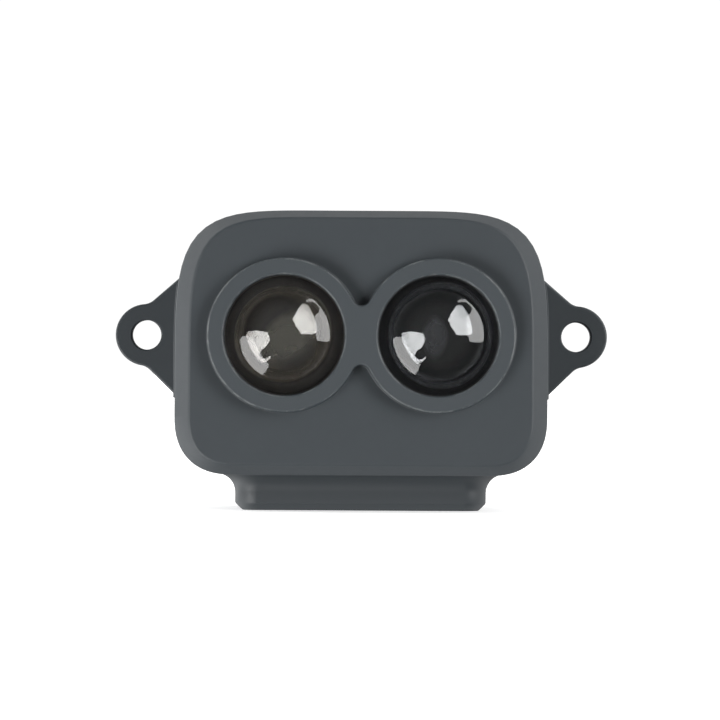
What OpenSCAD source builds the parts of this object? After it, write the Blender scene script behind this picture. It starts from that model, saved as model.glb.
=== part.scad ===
// Optical distance sensor in a sealed case: an emitter lens and a receiver lens side by side.
// Millimetres. The lenses look towards -Y and +Z is up. The origin lies midway between the two ear holes,
// on the ears' rear face, where a bracket bears.

/* [Case] */
// Width of the case, without the ears
case_w = 26; // [25.8:0.1:26.4]
// Height of the case above the ear holes
case_top = 8.7; // [8.5:0.1:9.2]
// Depth of the case below the ear holes
case_bottom = 9.75; // [9.6:0.05:10]
// Distance from the ears' rear face forward to the front panel
panel_y = 10.9; // [10.8:0.1:11.2]
// Distance from the ears' rear face back to the rear of the case
rear_y = 6.5; // [6.5:0.1:7]
// Thickness of the case walls
wall = 1.2; // [1.1:0.05:1.3]
// Width of the sloping edge round the front panel at its sides
edge_side = 1; // [0.8:0.1:1.2]

/* [Lenses] */
// Distance between the two lens axes
lens_pitch = 10.7; // [10.6:0.05:10.8]
// Radius of the opening in front of each lens
aperture_r = 4.2; // [4.1:0.05:4.25]
// Radius of the collar round each opening
collar_r = 5.35; // [5.3:0.01:5.36]
// Height of the collar above the front panel
collar_h = 1.1; // [0.9:0.1:1.4]
// Radius of curvature at the middle of the lens front
lens_front_r = 10; // [9:0.5:12]
// How much the lens front steepens towards its edge
lens_front_bulge = 0.0016; // [0.0012:0.0001:0.0016]
// Radius of curvature at the middle of the lens back
lens_back_r = 4.5; // [4:0.1:6]
// Conic constant of the lens back, which is a hyperbola
lens_back_conic = -12; // [-14:1:-8]

/* [Ears] */
// Distance between the two ear holes
ear_pitch = 30.6; // [30.4:0.1:31]
// Radius of the ear tips
ear_r = 2.2; // [2:0.1:2.4]
// Radius of the ear holes
ear_hole_r = 1.05; // [1:0.05:1.2]
// Thickness of the ears
ear_t = 2.2; // [2:0.1:2.4]

/* [Foot] */
// Width of the foot under the case
foot_w = 17.7; // [17.5:0.1:17.8]
// Height of the foot below the case
foot_h = 2.55; // [2.5:0.05:2.8]
// Distance from the ears' rear face forward to the front of the foot
foot_front_y = 7; // [6.5:0.1:7.5]

/* [Hidden] */
$fn = 64;
eps = 0.01;
corner_steps = 16;

// The case outline: rounded corners that run into the straight sides without a visible start
top_corner = [11, 12.4, 4.6];       // across, up, and how square the curve is
bottom_corner = [4.1, 4.1, 2.4];
edge_top = 0.5;
edge_bottom = 0.7;
edge_depth = 1.05;
panel_break = 0.08;                 // softened corner between the panel and its sloping edge

// Stations along Y
split_y = -ear_t;                   // the two housings meet here
collar_y = -panel_y - collar_h;
panel_back = -panel_y + 1.3;
barrel_end = -4;
pad_front = -9;

// Parts of the rear housing
rear_step = 0.6;                    // the rear body stands in from its flange by this, but not underneath
rear_step_low = 0.1;
rear_round = 0.8;
rear_round_steps = 6;
rear_cavity = rear_step + wall;
rear_wall_y = rear_y - wall;
groove_in = 0.5;
groove_out = 1;
groove_deep = 0.5;

// Ears
ear_top = [4.05, 41];               // where the edge starts up the case side, and its slope
ear_low = [4.5, 44.5];              // the same below
ear_fillet = 1.2;
ear_fillet_steps = 9;
pad_z = [-4.4, 3.6];
pad_out = 0.12;

// Foot
foot_round = 1.6;
foot_flare = 1.3;
foot_edge = 0.5;
foot_wall = 1;
foot_buried = 0.3;                  // how far the foot's solid reaches up into the case
flare_steps = 6;

// Lens stack, from the lip back to the sensor board
lip_t = 1.1;
lip_edge = 0.2;
bore_r = 4.75;
lens_r = 4.7;
dome_r = 4.1;
lens_steps = 24;
seal_t = 0.3;
flange_t = 1.2;
flange_y = collar_y + lip_t + seal_t;
tube_y = flange_y + flange_t;
tunnel_front_r = 4.1;
tunnel_stop_r = 2.3;
tunnel_stop_y = -3.8;
tunnel_steps = 6;
pocket_r = 3.1;
pocket_y = -3.4;

// Boards
board_fit = 0.2;                    // gap between a board's edge and the cavity wall
sensor_y = -1.9;
sensor_t = 0.8;
main_y = 1.6;
main_t = 1;
main_back = main_y + main_t;
tongue_w = 14.6;
tongue_z = -11.1;
rib_x = 9.2;
rib_z = 1.6;
rib_screw_x = 10.1;
rib_screw_r = 0.5;

// Screws that hold the two housings together
screw_xz = [[9.1, 5.1], [-9.1, 5.1], [9.4, -6.4], [-9.4, -6.4]];
pillar_r = 1.5;
shank_r = 0.8;
shank_hole_r = 0.9;
head_r = 1.2;
head_h = 0.8;
head_hole_r = 1.3;
head_hole_h = 1.1;
shank_tip_y = -5;
boss_hole_y = -6.5;

// Cable socket
socket_w = 8.2;
socket_h = 4;
socket_z = -9;
socket_wall = 0.65;
socket_floor = 0.9;
socket_back = rear_y - 0.2;
seal_rim = 0.5;
pin_pitch = 1.25;
pin_w = 0.4;
pin_count = 4;

// Blank label
label_w = 13;
label_h = 7;
label_z = 0.6;
label_t = 0.15;
label_round = 0.6;

// ---- Helpers ----

// A flat shape drawn in X and Z, extruded from y0 back to y1
module along_y(y0, y1) {
    translate([0, y1, 0]) rotate([90, 0, 0]) linear_extrude(y1 - y0) children();
}

module rod_y(r, y0, y1) {
    translate([0, y1, 0]) rotate([90, 0, 0]) cylinder(r = r, h = y1 - y0);
}

// A cone along Y with radius r0 at y0 and r1 at y1
module cone_y(r0, y0, r1, y1) {
    translate([0, y1, 0]) rotate([90, 0, 0]) cylinder(r1 = r1, r2 = r0, h = y1 - y0);
}

// A box given by its lowest and highest corners
module block(low, high) {
    translate(low) cube(high - low);
}

module at_xz(x, z) {
    translate([x, 0, z]) children();
}

module rounded_rect(w, h, r) {
    square([w - 2 * r, h], center = true);
    square([w, h - 2 * r], center = true);
    for (sx = [-1, 1], sz = [-1, 1])
        translate([sx * (w / 2 - r), sz * (h / 2 - r)]) circle(r = r);
}

// One quarter of a curve between an ellipse and its box; shape is [across, up, squareness]
function corner(x, z, shape, start) = [
    for (i = [0 : corner_steps])
        let (
            t = start + 90 * i / corner_steps,
            reach = pow(pow(abs(cos(t)), shape[2]) + pow(abs(sin(t)), shape[2]), -1 / shape[2])
        )
        [x + shape[0] * reach * cos(t), z + shape[1] * reach * sin(t)]
];

function shrink(shape, side, up) = [shape[0] - side, shape[1] - up, shape[2]];

// The case outline, moved in by side, top and bottom
function outline(side, top, bottom) =
    let (
        w = case_w / 2 - side,
        high = case_top - top,
        low = -case_bottom + bottom,
        t = shrink(top_corner, side, top),
        b = shrink(bottom_corner, side, bottom)
    )
    concat(
        corner(w - t[0], high - t[1], t, 0),
        corner(t[0] - w, high - t[1], t, 90),
        corner(b[0] - w, low + b[1], b, 180),
        corner(w - b[0], low + b[1], b, 270)
    );

function inset(d) = outline(d, d, d);

function rear_outline(d) = outline(rear_step + d, rear_step + d, rear_step_low + d);

// Skins a row of outlines, each [y, outline], from the front one to the rear one
module loft(rings) {
    n = len(rings[0][1]);
    last = (len(rings) - 1) * n;
    points = [for (r = rings) for (p = r[1]) [p[0], r[0], p[1]]];
    front = [[for (i = [n - 1 : -1 : 0]) i]];
    back = [[for (i = [0 : n - 1]) last + i]];
    sides = [
        for (k = [0 : len(rings) - 2], i = [0 : n - 1])
            let (a = k * n + i, b = k * n + (i + 1) % n)
            each [[a, b, b + n], [a, b + n, a + n]]
    ];
    polyhedron(points = points, faces = concat(front, back, sides));
}

// Two touching rings with the notches between them rounded
module figure_eight(r) {
    half = lens_pitch / 2;
    notch_r = 0.64;
    notch_z = sqrt(pow(r + notch_r, 2) - half * half);
    touch = [half * notch_r / (r + notch_r), notch_z * r / (r + notch_r)];
    for (s = [-1, 1]) translate([s * half, 0]) circle(r = r);
    difference() {
        square(2 * touch, center = true);
        for (s = [-1, 1]) translate([0, s * notch_z]) circle(r = notch_r);
    }
}

// ---- Shapes shared by the two housings ----

// An ear's upper edge, from inside the case to just inside the round tip; shape is [start height, slope]
function ear_edge(shape) =
    let (
        tip = [ear_pitch / 2, 0],
        root = [case_w / 2, shape[0]],
        slope = [cos(shape[1]), -sin(shape[1])],
        out = [sin(shape[1]), cos(shape[1])],
        reach = root + ear_fillet * out - tip,
        run = -(reach * slope) - sqrt(pow(reach * slope, 2) - reach * reach + pow(ear_r + ear_fillet, 2)),
        centre = root + run * slope + ear_fillet * out,
        end_angle = atan2(tip[1] - centre[1], tip[0] - centre[0]),
        start_angle = -90 - shape[1],
        inside_tip = tip + (ear_r - 0.02) * [-cos(end_angle), -sin(end_angle)]
    )
    concat(
        [root - 2 * slope],
        [
            for (i = [0 : ear_fillet_steps - 1])
                let (t = start_angle + (end_angle - start_angle) * i / ear_fillet_steps)
                centre + ear_fillet * [cos(t), sin(t)]
        ],
        [inside_tip, [tip[0], ear_r / 2]]
    );

// One ear on the +X side: a round tip, and a web whose edges curve from the tip out to the case
module ear_profile() {
    upper = ear_edge(ear_top);
    lower = ear_edge(ear_low);
    difference() {
        union() {
            translate([ear_pitch / 2, 0]) circle(r = ear_r);
            polygon(concat(upper, [for (i = [len(lower) - 1 : -1 : 0]) [lower[i][0], -lower[i][1]]]));
        }
        translate([ear_pitch / 2, 0]) circle(r = ear_hole_r);
    }
}

// The foot's outline in X and Y, moved out by d
function foot_plan(d) =
    let (
        r = foot_round + d,
        w = foot_w / 2 + d - r,
        front = -foot_front_y - d + r,
        back = rear_y + d - r,
        shape = [r, r, 2]
    )
    concat(corner(w, back, shape, 0), corner(-w, back, shape, 90), corner(-w, front, shape, 180),
        corner(w, front, shape, 270));

// The foot, with the sloping edge round its underside and the fillet that runs it into the case
module foot() {
    low = -case_bottom - foot_h;
    fillet = [
        for (i = [0 : flare_steps])
            let (t = 90 * i / flare_steps)
            [-case_bottom - foot_flare * (1 - sin(t)), foot_plan(foot_flare * (1 - cos(t)))]
    ];
    intersection() {
        mirror([0, 1, 0]) rotate([90, 0, 0]) loft(concat(
            [[low, foot_plan(-foot_edge)], [low + foot_edge, foot_plan(0)]],
            fillet,
            [[-case_bottom + foot_buried, foot_plan(foot_flare)]]
        ));
        block([-case_w, -panel_y, low - 1], [case_w, rear_y, 0]);
    }
}

// Everything in front of the split, or behind it
module in_front() {
    intersection() {
        children();
        block([-30, -30, -30], [30, split_y, 30]);
    }
}

module behind() {
    intersection() {
        children();
        block([-30, split_y, -30], [30, 30, 30]);
    }
}

// The case and the foot as one flat outline at the split, moved in by d
module split_profile(d) {
    polygon(inset(d));
    translate([0, -case_bottom - foot_h / 2 + 1]) square([foot_w - 2 * d, foot_h + 2 - 2 * d], center = true);
}

// ---- Case ----

module front_housing() {
    half = lens_pitch / 2;
    color("#4a4f53") difference() {
        union() {
            difference() {
                union() {
                    loft([
                        [-panel_y, outline(edge_side + panel_break, edge_top + panel_break, edge_bottom + panel_break)],
                        [-panel_y + panel_break, outline(edge_side, edge_top, edge_bottom)],
                        [-panel_y + edge_depth, inset(0)],
                        [split_y, inset(0.05)]
                    ]);
                    in_front() foot();
                    along_y(pad_front, split_y) intersection() {
                        polygon(inset(-pad_out));
                        translate([-case_w, pad_z[0]]) square([2 * case_w, pad_z[1] - pad_z[0]]);
                    }
                    along_y(collar_y, -panel_y + eps) figure_eight(collar_r);
                }
                along_y(panel_back, split_y + 1) polygon(inset(wall));
            }
            along_y(panel_back - eps, barrel_end) figure_eight(collar_r);
            block([-0.5, panel_back - eps, -case_bottom + wall - 0.1], [0.5, barrel_end, case_top - wall + 0.1]);
            for (p = screw_xz) at_xz(p[0], p[1]) rod_y(pillar_r, panel_back - eps, split_y);
        }
        for (s = [-1, 1]) at_xz(s * half, 0) {
            rod_y(aperture_r, collar_y - 1, 0);
            rod_y(bore_r, collar_y + lip_t, 0);
            cone_y(aperture_r + lip_edge + 0.1, collar_y - 0.1, aperture_r, collar_y + lip_edge);
        }
        for (p = screw_xz) at_xz(p[0], p[1]) rod_y(shank_r, boss_hole_y, 0);
    }
}

module rear_housing() {
    color("#474c50") difference() {
        union() {
            difference() {
                union() {
                    along_y(split_y, 0) polygon(inset(0.05));
                    for (s = [0, 1]) mirror([s, 0, 0]) along_y(split_y, 0) ear_profile();
                    loft(concat(
                        [[-eps, rear_outline(0)]],
                        [for (i = [0 : rear_round_steps])
                            let (t = 90 * i / rear_round_steps)
                            [rear_y - rear_round * (1 - sin(t)), rear_outline(rear_round * (1 - cos(t)))]]
                    ));
                    behind() foot();
                }
                along_y(split_y - 1, rear_wall_y) polygon(inset(rear_cavity));
                block([-foot_w / 2 + foot_wall, split_y - 1, -case_bottom - foot_h + foot_wall],
                    [foot_w / 2 - foot_wall, rear_wall_y, 0]);
                along_y(split_y - 1, split_y + groove_deep) difference() {
                    split_profile(groove_in);
                    split_profile(groove_out);
                }
            }
            for (p = screw_xz) at_xz(p[0], p[1]) rod_y(pillar_r, split_y, rear_wall_y + eps);
            for (s = [0, 1]) mirror([s, 0, 0])
                block([rib_x, sensor_y + sensor_t, -rib_z], [case_w / 2 - rear_cavity + 0.1, main_y, rib_z]);
        }
        for (p = screw_xz) at_xz(p[0], p[1]) {
            rod_y(shank_hole_r, split_y - 1, rear_y + 1);
            rod_y(head_hole_r, rear_y - head_hole_h, rear_y + 1);
        }
        for (s = [-1, 1]) at_xz(s * rib_screw_x, 0) rod_y(rib_screw_r, main_y - 2.5, main_y + 1);
        at_xz(0, socket_z) along_y(main_back, rear_y + 1)
            rounded_rect(socket_w + 2 * seal_rim, socket_h + 2 * seal_rim, 0.8);
        at_xz(0, label_z) along_y(rear_y - label_t - 0.05, rear_y + 1)
            rounded_rect(label_w + 0.2, label_h + 0.2, label_round + 0.1);
    }
}

module housing_gasket() {
    color("#202224") along_y(split_y, split_y + groove_deep) difference() {
        split_profile(groove_in);
        split_profile(groove_out);
    }
}

// A pan-head screw at the origin of X and Z, its head's underside at y and its tip at tip_y
module pan_screw(r, head, height, y, tip_y) {
    slot = head * 0.22;
    difference() {
        union() {
            rod_y(head, y, y + height - 0.2);
            cone_y(head, y + height - 0.2, head - 0.3, y + height);
            rod_y(r, tip_y + r, y);
            cone_y(r * 0.3, tip_y, r, tip_y + r);
        }
        for (a = [0, 90]) rotate([0, a, 0])
            block([-head * 0.6, y + height * 0.4, -slot / 2], [head * 0.6, y + height + 1, slot / 2]);
    }
}

module housing_screws() {
    color("#3a3b3d") for (p = screw_xz) at_xz(p[0], p[1])
        pan_screw(shank_r, head_r, head_h, rear_y - head_hole_h, shank_tip_y);
}

module rear_label() {
    color("#c9c9c4") at_xz(0, label_z)
        along_y(rear_y - label_t - 0.05, rear_y - 0.05) rounded_rect(label_w, label_h, label_round);
}

// ---- Lenses and their tubes ----

// How far an aspheric surface falls away from its pole at distance r from the axis
function sag(r, radius, conic, bulge) =
    r * r / (radius * (1 + sqrt(1 - (1 + conic) * pow(r / radius, 2)))) + bulge * pow(r, 4);

function front_sag(r) = sag(r, lens_front_r, 0, lens_front_bulge);

function back_sag(r) = sag(r, lens_back_r, lens_back_conic, 0);

module lens() {
    front = flange_y - front_sag(dome_r);
    back = tube_y + back_sag(dome_r);
    radii = [for (i = [0 : lens_steps]) dome_r * i / lens_steps];
    front_dome = [for (r = radii) [r, front + front_sag(r)]];
    back_dome = [for (i = [lens_steps : -1 : 0]) [radii[i], back - back_sag(radii[i])]];
    rim = [[lens_r, flange_y], [lens_r, tube_y]];
    rotate([-90, 0, 0]) rotate_extrude() polygon(concat(front_dome, rim, back_dome));
}

module lens_seal() {
    difference() {
        rod_y(lens_r, collar_y + lip_t, flange_y);
        rod_y(dome_r + 0.05, collar_y, 0);
    }
}

// A light tube, stepped inside so that stray light dies in it, with a stop and a pocket for the chip at its foot
module tube() {
    step_y = (tunnel_stop_y - tube_y) / tunnel_steps;
    step_r = (tunnel_front_r - tunnel_stop_r) / tunnel_steps;
    difference() {
        rod_y(lens_r, tube_y, sensor_y);
        for (i = [0 : tunnel_steps - 1])
            rod_y(tunnel_front_r - i * step_r, tube_y + i * step_y - eps, tube_y + (i + 1) * step_y);
        rod_y(tunnel_stop_r, tunnel_stop_y - eps, sensor_y);
        rod_y(pocket_r, pocket_y, 0);
    }
}

module emitter_side() {
    at_xz(-lens_pitch / 2, 0) children();
}

module receiver_side() {
    at_xz(lens_pitch / 2, 0) children();
}

module emitter_lens() {
    color("#8d8270") emitter_side() lens();
}

module receiver_lens() {
    color("#3b3f45") receiver_side() lens();
}

module emitter_lens_seal() {
    color("#1c1c1e") emitter_side() lens_seal();
}

module receiver_lens_seal() {
    color("#1c1c1e") receiver_side() lens_seal();
}

module emitter_tube() {
    color("#2a2622") emitter_side() tube();
}

module receiver_tube() {
    color("#1b1c1e") receiver_side() tube();
}

module light_divider() {
    color("#151515") block([-0.35, barrel_end, -6.8], [0.35, sensor_y, 6.8]);
}

// ---- Sensor board ----

module board_profile() {
    difference() {
        polygon(inset(rear_cavity + board_fit));
        for (p = screw_xz) translate(p) circle(r = pillar_r + board_fit);
    }
}

module sensor_board() {
    color("#1f5a34") along_y(sensor_y, sensor_y + sensor_t) board_profile();
}

// A flat chip standing on the plane y, its face towards -Y if front is true
module chip(w, h, t, y, front) {
    block([-w / 2, front ? y - t : y, -h / 2], [w / 2, front ? y : y + t, h / 2]);
}

module emitter_led() {
    color("#d8c58a") emitter_side() difference() {
        chip(3.4, 3.4, 0.55, sensor_y, true);
        cone_y(1.35, sensor_y - 0.56, 1.05, sensor_y - 0.3);
    }
}

module emitter_dome() {
    color("#e6e0c8") emitter_side() intersection() {
        translate([0, sensor_y - 0.3, 0]) sphere(r = 1.04);
        rod_y(1.04, sensor_y - 2, sensor_y - 0.3);
    }
}

module receiver_chip() {
    color("#2b2b30") receiver_side() chip(3.6, 3.6, 0.7, sensor_y, true);
}

module receiver_filter() {
    color("#4a2f3c") receiver_side() chip(4, 4, 0.4, sensor_y - 0.7, true);
}

sensor_back = sensor_y + sensor_t;

module receiver_shield() {
    w = 6.4;
    h = 7.4;
    deep = 1.9;
    t = 0.2;
    color("#b9bcc0") at_xz(4.7, -0.2) difference() {
        chip(w, h, deep, sensor_back, false);
        chip(w - 2 * t, h - 2 * t, deep - t, sensor_back - eps, false);
    }
}

module driver_chip() {
    color("#1d1d1f") at_xz(-5.4, 1.5) chip(3, 3, 0.9, sensor_back, false);
}

module board_plug() {
    color("#d9d4c4") at_xz(0, -6.3) difference() {
        chip(8, 2.6, 1.6, sensor_back, false);
        block([-3.4, sensor_back + 0.7, -0.7], [3.4, main_y, 0.7]);
    }
}

module board_socket() {
    color("#c9c3b2") at_xz(0, -6.3) union() {
        chip(8, 2.6, main_y - sensor_back - 1.6, main_y, true);
        block([-3.3, sensor_back + 0.8, -0.6], [3.3, main_y - eps, 0.6]);
    }
}

// ---- Main board ----

module main_board() {
    color("#1f5a34") along_y(main_y, main_back) difference() {
        union() {
            polygon(inset(rear_cavity + board_fit));
            translate([-tongue_w / 2, tongue_z]) square([tongue_w, -tongue_z]);
        }
        for (p = screw_xz) translate(p) circle(r = pillar_r + board_fit);
        for (s = [-1, 1]) translate([s * rib_screw_x, 0]) circle(r = rib_screw_r + 0.1);
    }
}

module board_screws() {
    color("#9a9b9d") for (s = [-1, 1]) at_xz(s * rib_screw_x, 0)
        pan_screw(rib_screw_r, 0.9, 0.6, main_back, main_y - 2.3);
}

module processor_chip() {
    color("#1a1a1c") at_xz(-2.6, 2.2) chip(5, 5, 0.9, main_back, false);
}

module regulator_chip() {
    color("#1a1a1c") at_xz(4.2, -2.6) chip(3, 1.6, 1.1, main_back, false);
}

module power_inductor() {
    color("#58544d") at_xz(4.4, 0.6) difference() {
        chip(3, 3, 1.5, main_back, false);
        for (s = [-1, 1]) block([s * 1.3 - 0.3, main_back + 0.6, -0.4], [s * 1.3 + 0.3, main_back + 2, 0.4]);
    }
}

module crystal() {
    color("#c0c2c4") at_xz(-2.6, -2.4) chip(3.2, 1.5, 0.7, main_back, false);
}

// Small two-ended parts; each row is x, z and whether the part stands upright
capacitor_places = [[1.6, 4.6, 1], [3, 4.6, 1], [4.4, 4.6, 1], [5.8, 4.6, 1], [7, 1.4, 0], [7, 0, 0], [7, -1.4, 0],
    [-6.6, 4.2, 1], [-6.6, 1.6, 1], [0.6, -2.4, 0]];
resistor_places = [[1.2, 2.4, 0], [1.2, 1.2, 0], [1.2, 0, 0], [-6.6, -1, 1], [-8, 1.6, 1], [-8, -1, 1],
    [6.6, -3.4, 0], [0.6, -3.8, 0]];

module small_parts(places, long, wide, tall) {
    for (p = places) at_xz(p[0], p[1])
        chip(p[2] == 1 ? wide : long, p[2] == 1 ? long : wide, tall, main_back, false);
}

module capacitors() {
    color("#8a6d4d") small_parts(capacitor_places, 1.6, 0.8, 0.8);
}

module resistors() {
    color("#222224") small_parts(resistor_places, 1, 0.5, 0.35);
}

// ---- Cable socket ----

module socket_body() {
    inner_w = socket_w - 2 * socket_wall;
    inner_h = socket_h - 2 * socket_wall;
    color("#e4e0d2") at_xz(0, socket_z) difference() {
        along_y(main_back, socket_back) square([socket_w, socket_h], center = true);
        along_y(main_back + socket_floor, socket_back + 1) square([inner_w, inner_h], center = true);
        for (s = [-1, 1])
            block([s * 2.4 - 0.5, main_back + socket_floor, inner_h / 2 - eps], [s * 2.4 + 0.5, socket_back + 1, 3]);
        for (i = [0 : pin_count - 1])
            at_xz((i - (pin_count - 1) / 2) * pin_pitch, 0)
                along_y(main_back - 1, socket_back) square(pin_w, center = true);
    }
}

module socket_pins() {
    color("#d4b25a") for (i = [0 : pin_count - 1])
        at_xz((i - (pin_count - 1) / 2) * pin_pitch, socket_z)
            along_y(main_back, socket_back - 0.5) square(pin_w, center = true);
}

module socket_tabs() {
    color("#c9cbcd") for (s = [-1, 1])
        at_xz(s * (socket_w / 2 + 0.35), socket_z) chip(0.7, 1.8, 0.6, main_back, false);
}

module socket_seal() {
    color("#242628") at_xz(0, socket_z) along_y(main_back + 0.7, rear_y - 0.3) difference() {
        rounded_rect(socket_w + 2 * seal_rim, socket_h + 2 * seal_rim, 0.8);
        square([socket_w, socket_h], center = true);
    }
}

front_housing();
rear_housing();
housing_gasket();
housing_screws();
emitter_lens();
receiver_lens();
emitter_lens_seal();
receiver_lens_seal();
emitter_tube();
receiver_tube();
light_divider();
sensor_board();
emitter_led();
emitter_dome();
receiver_chip();
receiver_filter();
receiver_shield();
driver_chip();
board_plug();
board_socket();
main_board();
board_screws();
processor_chip();
regulator_chip();
power_inductor();
crystal();
capacitors();
resistors();
socket_body();
socket_pins();
socket_tabs();
socket_seal();
rear_label();
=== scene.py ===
"""Looks for a small sealed optical distance sensor: case, lenses, light tubes, boards, socket and label.

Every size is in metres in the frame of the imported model: the lenses look towards -Y and +Z is up.
"""

from math import atan2, cos, degrees, pi, radians, sin, sqrt

import bmesh
import bpy
from mathutils import Matrix, Vector


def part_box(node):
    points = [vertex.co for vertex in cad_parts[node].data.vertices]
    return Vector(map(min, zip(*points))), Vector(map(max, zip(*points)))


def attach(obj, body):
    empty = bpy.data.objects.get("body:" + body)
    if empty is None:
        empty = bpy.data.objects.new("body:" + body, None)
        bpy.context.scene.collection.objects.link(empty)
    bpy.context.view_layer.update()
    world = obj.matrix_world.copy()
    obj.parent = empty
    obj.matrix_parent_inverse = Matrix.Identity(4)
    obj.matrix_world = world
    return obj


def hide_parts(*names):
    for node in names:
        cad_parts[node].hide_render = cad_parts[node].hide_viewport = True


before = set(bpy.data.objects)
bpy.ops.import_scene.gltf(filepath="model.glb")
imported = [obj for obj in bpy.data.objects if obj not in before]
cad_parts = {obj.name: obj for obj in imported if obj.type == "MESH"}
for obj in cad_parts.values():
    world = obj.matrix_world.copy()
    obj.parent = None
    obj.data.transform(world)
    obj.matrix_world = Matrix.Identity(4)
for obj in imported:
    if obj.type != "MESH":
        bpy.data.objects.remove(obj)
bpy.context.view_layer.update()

MM = 0.001


# ---- Places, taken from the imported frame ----


def middle(node):
    low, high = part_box(node)
    return (low + high) / 2


FRONT_LOW, FRONT_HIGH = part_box("front_housing")
COLLAR_Y = FRONT_LOW.y
SPLIT_Y = FRONT_HIGH.y
REAR_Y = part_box("rear_housing")[1].y
EMITTER_X = middle("emitter_lens").x
RECEIVER_X = middle("receiver_lens").x
LENS_HALF_PITCH = (RECEIVER_X - EMITTER_X) / 2
COLLAR_H = 1.1 * MM
PANEL_Y = COLLAR_Y + COLLAR_H
CASE_TOP = FRONT_HIGH.z
BASE_Z = FRONT_LOW.z
FOOT_H = 2.55 * MM
CASE_LOW = BASE_Z + FOOT_H
CASE_HALF_W = 13 * MM

# Case outline: how far each rounded corner runs across and up, and how square it is
TOP_CORNER = (11 * MM, 12.4 * MM, 4.6)
LOW_CORNER = (4.1 * MM, 4.1 * MM, 2.4)
CORNER_STEPS = 28
EDGE_SIDE = 1.0 * MM
EDGE_TOP = 0.5 * MM
EDGE_LOW = 0.7 * MM
EDGE_DEPTH = 1.05 * MM
SPLIT_INSET = 0.05 * MM

COLLAR_R = 5.35 * MM
APERTURE_R = 4.2 * MM
NOTCH_R = 0.64 * MM
LENS_R = 4.7 * MM
DOME_R = 4.1 * MM
# Lens surfaces in millimetres: radius at the pole, conic constant, and what is added with the fourth power of
# the distance from the axis
LENS_FRONT = (10, 0, 0.0016)
LENS_BACK = (4.5, -12, 0)
SEAL_T = 0.3 * MM
FLANGE_T = 1.2 * MM
SEAT_Y = PANEL_Y
FLANGE_Y = SEAT_Y + SEAL_T
TUBE_Y = FLANGE_Y + FLANGE_T
BORE_R = 4.75 * MM
TUBE_END_R = 2.3 * MM
STOP_Y = -3.8 * MM
POCKET_Y = -3.4 * MM
POCKET_R = 3.1 * MM

EAR_HOLE_X = 15.3 * MM
EAR_TIP_R = 2.2 * MM
EAR_HOLE_R = 1.05 * MM
# An ear's upper and lower edge: how far from the middle each meets the case, and its slope
EAR_TOP = (4.05 * MM, radians(41))
EAR_LOW = (4.5 * MM, radians(44.5))
EAR_FILLET = 1.2 * MM
PAD_OUT = 0.12 * MM
PAD_LOW_Z = -4.4 * MM
PAD_HIGH_Z = 3.6 * MM
PAD_FRONT_Y = -9 * MM

FOOT_HALF_W = 8.85 * MM
FOOT_FRONT_Y = -7 * MM
FOOT_ROUND = 1.6 * MM
FOOT_EDGE = 0.5 * MM
FLARE_R = 1.3 * MM

REAR_STEP = 0.6 * MM
REAR_STEP_LOW = 0.1 * MM
REAR_ROUND = 0.8 * MM
SCREWS = [(9.1 * MM, 5.1 * MM), (-9.1 * MM, 5.1 * MM), (9.4 * MM, -6.4 * MM), (-9.4 * MM, -6.4 * MM)]
SCREW_HOLE_R = 0.9 * MM
HEAD_HOLE_R = 1.3 * MM
HEAD_HOLE_DEEP = 1.1 * MM

# Hollows of the two housings
FRONT_WALL = 1.2 * MM
FRONT_HOLLOW_Y = -9.6 * MM
BARREL_ENDS = (-9.8 * MM, -4 * MM)
REAR_WALL = 1.8 * MM
REAR_HOLLOW_Y = 5.3 * MM
FOOT_HOLLOW_HALF_W = 7.85 * MM
FOOT_FLOOR = 1 * MM

# Recesses in the rear face: width, height and corner radius
SOCKET_OPENING = (9.2 * MM, 5 * MM, 0.8 * MM)
SOCKET_OPENING_Y = 2.6 * MM
LABEL_RECESS = (13.2 * MM, 7.2 * MM, 0.7 * MM)
LABEL_RECESS_DEEP = 0.2 * MM

# How far one solid is sunk into another that it joins, and how far a cutter runs past what it cuts
SUNK = 0.3 * MM
OVER = 1 * MM
# Half the size of a block that is larger than the part
WHOLE = 20 * MM

LATHE_STEPS = 128
HOLE_STEPS = 64


# ---- Mesh tools ----


def new_object(name, mesh):
    piece = bpy.data.objects.new(name, mesh)
    bpy.context.scene.collection.objects.link(piece)
    return piece


def from_bmesh(name, bm):
    bmesh.ops.recalc_face_normals(bm, faces=bm.faces)
    mesh = bpy.data.meshes.new(name)
    bm.to_mesh(mesh)
    bm.free()
    return new_object(name, mesh)


def skin(name, rings):
    """A closed solid through rings of points, all with the same count, with a flat cap at each end."""
    bm = bmesh.new()
    rows = [[bm.verts.new(p) for p in ring] for ring in rings]
    count = len(rows[0])
    for a, b in zip(rows, rows[1:]):
        for i in range(count):
            j = (i + 1) % count
            bm.faces.new((a[i], a[j], b[j], b[i]))
    bm.faces.new(rows[0])
    bm.faces.new(rows[-1])
    return from_bmesh(name, bm)


def circle(bm, r, y, x, z, steps):
    """New corners round a line along Y, or one on it where the radius is zero."""
    if r < 1e-9:
        return [bm.verts.new((x, y, z))]
    angles = [2 * pi * i / steps for i in range(steps)]
    return [bm.verts.new((x + r * cos(a), y, z + r * sin(a))) for a in angles]


def lathe(name, profile, x=0.0, z=0.0, steps=LATHE_STEPS):
    """A profile of (radius, y) points turned about a line along Y. A radius of zero closes to one point."""
    bm = bmesh.new()
    rows = [circle(bm, r, y, x, z, steps) for r, y in profile]
    for a, b in zip(rows, rows[1:]):
        for i in range(steps):
            j = (i + 1) % steps
            corners = list(dict.fromkeys((a[i % len(a)], a[j % len(a)], b[j % len(b)], b[i % len(b)])))
            if len(corners) > 2:
                bm.faces.new(corners)
    for row in (rows[0], rows[-1]):
        if len(row) > 1 and rows[0] is not rows[-1]:
            bm.faces.new(row)
    return from_bmesh(name, bm)


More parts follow.
